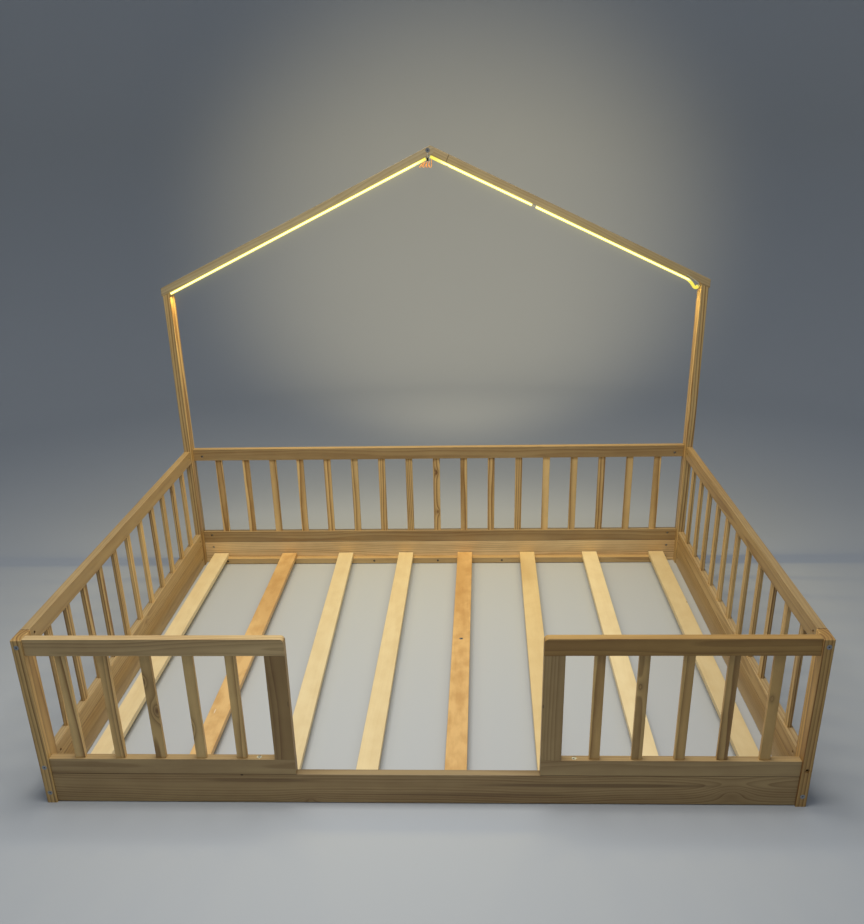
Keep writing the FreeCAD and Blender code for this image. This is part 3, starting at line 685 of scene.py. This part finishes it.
dress("light_strip_left", litSilicone("litSiliconeLeft", -1))
for node in ("light_strip_right_upper", "light_strip_right_lower"):
    dress(node, litSilicone(node + "Silicone", 1))


clearLook = {
    "pale": (0.86, 0.82, 0.70), "core": (0.66, 0.60, 0.44), "cloud": 300.0,
    "rough": 0.25, "clear": 0.25, "refraction": 1.45, "relief": 0.0002, "reliefStrength": 0.3,
}


def clearLead(name, look):
    # clear plastic that is a little cloudy, so that its core shows through in places
    finish = Finish(name, Roughness=look["rough"], Transmission_Weight=look["clear"],
                    IOR=look["refraction"])
    core = finish.cloudy(look["cloud"])
    return finish.feed(Base_Color=finish.tint(core, look["pale"], look["core"]),
                       Normal=finish.bump(core, look["relief"], look["reliefStrength"]))


clearLeadFinish = clearLead("clearLead", clearLook)
dress("light_strip_splice", clearLeadFinish)
dress("light_strip_tail", clearLeadFinish)
print("stage: light strip finished")


# New pieces

def ringWalls(count, around):
    # four-sided faces between closed rings of points, each ring joined to the next
    row = np.arange(count - 1)[:, None] * around
    here = np.arange(around)[None, :]
    ahead = (here + 1) % around
    walls = np.stack([row + here, row + ahead, row + around + ahead, row + around + here], axis=-1)
    return walls.reshape(-1, 4)


def smoothPiece(name, points, faces, material):
    # a smoothly shaded mesh of these points and faces, with its object at the origin
    mesh = bpy.data.meshes.new(name)
    mesh.from_pydata(points.tolist(), [], faces)
    mesh.polygons.foreach_set("use_smooth", np.ones(len(mesh.polygons), dtype=bool))
    mesh.materials.append(material)
    piece = bpy.data.objects.new(name, mesh)
    bpy.context.scene.collection.objects.link(piece)
    return piece


def surfacePiece(name, rings, material, replaced=()):
    # rings is an array (n, m, 3): n closed rings of m points, joined in order, with a fan of
    # faces on a middle point at each end
    count, around, _ = rings.shape
    points = np.concatenate([rings.reshape(-1, 3), rings[:1].mean(axis=1), rings[-1:].mean(axis=1)])
    here = np.arange(around)
    ahead = (here + 1) % around
    first, last = count * around, count * around + 1
    end = (count - 1) * around
    capStart = np.stack([np.full(around, first), ahead, here], axis=-1)
    capEnd = np.stack([np.full(around, last), end + here, end + ahead], axis=-1)
    faces = ringWalls(count, around).tolist() + capStart.tolist() + capEnd.tolist()
    piece = smoothPiece(name, points, faces, material)
    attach(piece, "root")
    if replaced:
        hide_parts(*replaced)


# Lead hank: the same points as its solid, as one smooth line, with one more on each leg where
# it meets the short run over to the next loop

hankShape = {
    "wire": 0.002,
    "length": 0.197,
    "steps": 10, "roundness": 4,     # of the smooth line between two points, and of its section
    "orange": (1.0, 0.42, 0.03), "brown": (0.50, 0.11, 0.008),
    # the glow is painted light: the lead's own colour emitted in place of the strips' light falling
    # on it
    "cloud": 260.0, "cloudEdges": (0.40, 0.60), "paintedStripLight": 0.85, "rough": 0.22, "roughSpread": 0.2,
    "route": [
        (-0.0255, 0.773, 1.5687), (-0.0240, 0.773, 1.5654),     # out of the left strip
        (-0.0410, 0.773, 1.5524), (-0.0322, 0.773, 1.5519),     # first loop's foot
        (-0.0197, 0.773, 1.5667), (-0.0171, 0.773, 1.5698),
        (-0.0171, 0.777, 1.5698), (-0.0193, 0.777, 1.5664),
        (-0.0287, 0.777, 1.5517), (-0.0199, 0.777, 1.5512),     # second
        (-0.0121, 0.777, 1.5663), (-0.0102, 0.777, 1.5698),
        (-0.0102, 0.781, 1.5698), (-0.0115, 0.781, 1.5660),
        (-0.0164, 0.781, 1.5511), (-0.0076, 0.781, 1.5506),     # third
        (-0.0042, 0.781, 1.5659), (-0.0033, 0.781, 1.5698),
        (-0.0033, 0.785, 1.5698), (-0.0035, 0.785, 1.5658),
        (-0.0041, 0.785, 1.5504), (0.0047, 0.785, 1.5499),      # fourth
        (0.0036, 0.785, 1.5747), (0.0051, 0.785, 1.5780),       # into the right strip
    ],
}


def copperLead(name, look):
    # thin lead that hangs in the strips' light: orange and brown clouds that also glow as painted
    # light, standing in for the strips' light on it
    finish = Finish(name, Emission_Strength=look["paintedStripLight"])
    cloud = finish.cloudy(look["cloud"])
    colour = finish.tint(cloud.rise(*look["cloudEdges"]), look["orange"], look["brown"])
    return finish.feed(Base_Color=colour, Emission_Color=colour,
                       Roughness=look["rough"] + cloud * look["roughSpread"])


def makeHank(shape):
    # a round lead along the smooth line that the route's points pull towards themselves
    route = np.array(shape["route"])
    curve = bpy.data.curves.new("leadHankLine", "CURVE")
    curve.dimensions = "3D"
    line = curve.splines.new("NURBS")
    line.points.add(len(route) - 1)
    line.points.foreach_set("co", np.c_[route, np.ones(len(route))].ravel())
    line.order_u = 3
    line.use_endpoint_u = True
    line.resolution_u = shape["steps"]
    curve.bevel_depth = shape["wire"] / 2
    curve.bevel_resolution = shape["roundness"]
    curve.use_fill_caps = True
    curve.materials.append(copperLead("copperLead", shape))
    hank = bpy.data.objects.new("leadHank", curve)
    bpy.context.scene.collection.objects.link(hank)
    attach(hank, "root")
    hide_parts("lead_hank")


makeHank(hankShape)
print("stage: lead hank wound")


# Connector below the ridge

connectorShape = {
    "lean": math.radians(9),       # as the photograph shows it
    "leanShare": 0.35,             # how much of the lean moves its top and foot sideways
    "halfWide": 0.0036, "halfDeep": 0.0029, "squareness": 5.0,
    "height": 0.985,               # share of the solid's height
    "sides": 48,
    # height from its foot as a share, and its half width there as a share
    "profile": [(0.00, 0.72), (0.03, 0.86), (0.06, 0.92), (0.16, 0.92), (0.18, 0.84),
                (0.24, 0.84), (0.26, 0.93), (0.34, 0.93), (0.36, 0.85), (0.42, 0.85), (0.44, 0.94),
                (0.60, 1.00), (0.90, 1.00), (0.96, 0.94), (1.00, 0.80)],
}
plasticLook = {
    "black": (0.003, 0.003, 0.004), "worn": (0.010, 0.009, 0.009), "wear": 180.0,
    "grain": 1500.0, "gloss": 0.15, "rough": 0.55, "roughSpread": 0.2,
    "relief": 0.00008, "reliefStrength": 0.4,
}


def blackPlastic(name, look):
    # fine grain in the gloss and the relief, and slow wear in the colour
    finish = Finish(name, Specular_IOR_Level=look["gloss"])
    grainy = finish.cloudy(look["grain"])
    worn = finish.cloudy(look["wear"], detail=1.0)
    return finish.feed(Base_Color=finish.tint(worn, look["black"], look["worn"]),
                       Roughness=look["rough"] + grainy * look["roughSpread"],
                       Normal=finish.bump(grainy, look["relief"], look["reliefStrength"]))


def makeConnector(shape):
    # rings of a rounded square that grow and shrink up the profile, then lean about the middle
    low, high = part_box("ridge_connector")
    middle = [(a + b) / 2 for a, b in zip(low, high)]
    share, width = np.array(shape["profile"]).T[:, :, None]
    turn = np.linspace(0, 2 * np.pi, shape["sides"], endpoint=False)
    power = 2 / shape["squareness"]
    squareX = np.sign(np.cos(turn)) * np.abs(np.cos(turn)) ** power
    squareY = np.sign(np.sin(turn)) * np.abs(np.sin(turn)) ** power
    rise = (share - 0.5) * ((high[2] - low[2]) * shape["height"])
    x = width * squareX * shape["halfWide"]
    y = width * squareY * shape["halfDeep"] + middle[1]
    leaned = x * math.cos(shape["lean"]) - rise * math.sin(shape["lean"]) * shape["leanShare"]
    raised = x * math.sin(shape["lean"]) + rise
    rings = np.stack([leaned + middle[0], y, raised + middle[2]], axis=-1)
    surfacePiece("ridgeConnector", rings, blackPlastic("blackPlastic", plasticLook),
                 ["ridge_connector"])


makeConnector(connectorShape)


# Short clear lead from the connector up to the ridge bolt

stubShape = {
    "radius": 0.0013, "x": -0.0088, "sides": 20, "steps": 28,
    "start": (0.7768, 1.5815), "bend": (0.7690, 1.5812), "end": (0.7692, 1.5978),    # (y, z)
}


def makeStub(shape):
    # a round tube along a curved line in the YZ plane: forward out of the connector, then up
    t = np.linspace(0, 1, shape["steps"])[:, None]
    start, bend, end = (np.array(shape[place]) for place in ("start", "bend", "end"))
    line = (1 - t) ** 2 * start + 2 * t * (1 - t) * bend + t ** 2 * end
    heading = np.gradient(line, axis=0)
    heading /= np.linalg.norm(heading, axis=1, keepdims=True)
    turn = np.linspace(0, 2 * np.pi, shape["sides"], endpoint=False)[None, :]
    radius = shape["radius"]
    x = shape["x"] + radius * np.cos(turn) + np.zeros_like(t)
    y = line[:, :1] - heading[:, 1:] * radius * np.sin(turn)
    z = line[:, 1:] + heading[:, :1] * radius * np.sin(turn)
    surfacePiece("ridgeLeadStub", np.stack([x, y, z], axis=-1), clearLeadFinish)


makeStub(stubShape)
print("stage: connector and its lead made")


# Studio

studioLook = {
    "floorRadius": 3.9, "wallRadius": 5.6, "wallHeight": 4.8,
    "hole": 0.01, "floorSteps": 12, "bendSteps": 24, "sides": 96,
    "floor": (0.485, 0.505, 0.515), "floorCloud": 0.7, "floorDim": 0.95,
    "gloss": 0.3, "rough": 0.55, "roughSpread": 0.1,
    "sky": (0.67, 0.75, 0.90), "skyStrength": 0.45,
    "overhead": {"place": (-0.15, -0.75, 2.75), "size": 1.5, "power": 36.5, "spread": 150.0,
                 "colour": (1.0, 0.985, 0.95)},
    "wallGlow": {"place": (0.05, 1.1, 1.2), "aim": (0.05, 5.0, 0.70), "cone": 66.0, "power": 325.0,
                 "colour": (1.0, 0.86, 0.56), "radius": 0.3},
    "stripGlow": {"colour": (1.0, 0.80, 0.34), "power": 6.0, "drop": 0.016, "share": 0.88,
                  "wide": 0.011},
    "bloom": {"Threshold": 0.9, "Strength": 1.0, "Size": 0.024, "Tint": (1.0, 0.95, 0.35, 1.0)},
}


def softenLight(bloom):
    # the lens's soft halo round anything that is nearly white or brighter
    scene = bpy.context.scene
    scene.use_nodes = True
    nodes, links = scene.node_tree.nodes, scene.node_tree.links
    nodes.clear()
    picture = nodes.new("CompositorNodeRLayers")
    glare = nodes.new("CompositorNodeGlare")
    result = nodes.new("CompositorNodeComposite")
    glare.glare_type = "BLOOM"
    for socket, value in bloom.items():
        glare.inputs[socket].default_value = value
    links.new(picture.outputs["Image"], glare.inputs["Image"])
    links.new(glare.outputs["Image"], result.inputs["Image"])


def paleFloor(name, look):
    # one pale colour with faint broad clouds
    finish = Finish(name, Specular_IOR_Level=look["gloss"])
    cloud = finish.cloudy(look["floorCloud"])
    dim = tuple(c * look["floorDim"] for c in look["floor"])
    return finish.feed(Base_Color=finish.tint(cloud, look["floor"], dim),
                       Roughness=look["rough"] + cloud * look["roughSpread"])


def makeRoom(look):
    # a round room: flat floor, a quarter turn of large radius, and a wall
    bend = look["wallRadius"] - look["floorRadius"]
    arc = np.linspace(0, np.pi / 2, look["bendSteps"])[1:]
    radii = np.concatenate([np.linspace(look["hole"], look["floorRadius"], look["floorSteps"]),
                            look["floorRadius"] + bend * np.sin(arc), [look["wallRadius"]]])
    heights = np.concatenate([np.zeros(look["floorSteps"]), bend * (1 - np.cos(arc)),
                              [look["wallHeight"]]])
    turn = np.linspace(0, 2 * np.pi, look["sides"], endpoint=False)
    rings = np.stack([radii[:, None] * np.cos(turn), radii[:, None] * np.sin(turn),
                      np.repeat(heights[:, None], len(turn), axis=1)], axis=-1)
    count, around, _ = rings.shape
    inward = ringWalls(count, around)[:, [0, 3, 2, 1]]
    faces = inward.tolist() + [list(range(around))]
    smoothPiece("studioFloor", rings.reshape(-1, 3), faces, paleFloor("paleFloor", look))

    world = bpy.data.worlds.new("softRoom")
    world.use_nodes = True
    background = world.node_tree.nodes["Background"]
    background.inputs["Color"].default_value = shade(look["sky"])
    background.inputs["Strength"].default_value = look["skyStrength"]
    bpy.context.scene.world = world


def hangLamp(name, kind, look, settings):
    # one lamp with its own settings; the camera doesn't see a flat one
    light = bpy.data.lights.new(name, kind)
    light.energy = look["power"]
    light.color = look["colour"]
    for key, setting in settings.items():
        setattr(light, key, setting)
    lamp = bpy.data.objects.new(name, light)
    lamp.visible_camera = kind != "AREA"
    bpy.context.scene.collection.objects.link(lamp)
    return lamp


def hangOverhead(look):
    softbox = hangLamp("overheadSoftbox", "AREA", look,
                       {"shape": "SQUARE", "size": look["size"],
                        "spread": math.radians(look["spread"])})
    softbox.location = look["place"]


def hangWallGlow(look):
    # the lit strips also warm the wall behind the gable
    spot = hangLamp("wallGlow", "SPOT", look,
                    {"spot_size": math.radians(look["cone"]), "spot_blend": 1.0,
                     "shadow_soft_size": look["radius"]})
    aim = Vector(look["aim"]) - Vector(look["place"])
    turned = aim.to_track_quat("-Z", "Y").to_matrix().to_4x4()
    turned.translation = look["place"]
    spot.matrix_world = turned


def hangStripGlow(look):
    # the strips' own light: a long narrow lamp below each, facing square off the rafter
    low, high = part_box("light_strip_left")
    length = (high[0] - low[0]) / math.cos(roofPitch)
    for node, side, mirror in (("light_strip_left", "left", 1),
                               ("light_strip_right_lower", "right", -1)):
        lamp = hangLamp(node + "Glow", "AREA", look,
                        {"shape": "RECTANGLE", "size": length * look["share"],
                         "size_y": look["wide"]})
        grain, deep = Vector(rafterGrain[side]), Vector(rafterDeep[side])
        middleX = (low[0] + (high[0] - low[0]) * look["share"] / 2) * mirror
        middle = Vector((middleX, stripLook["front"], underRafter(abs(middleX))))
        turned = Matrix((grain, deep.cross(grain), deep)).transposed().to_4x4()
        turned.translation = middle - deep * look["drop"]
        lamp.matrix_world = turned


def makeStudio(look):
    makeRoom(look)
    hangOverhead(look["overhead"])
    hangWallGlow(look["wallGlow"])
    hangStripGlow(look["stripGlow"])
    softenLight(look["bloom"])
    bpy.context.scene.view_settings.view_transform = "Standard"


makeStudio(studioLook)
print("stage: studio lit")
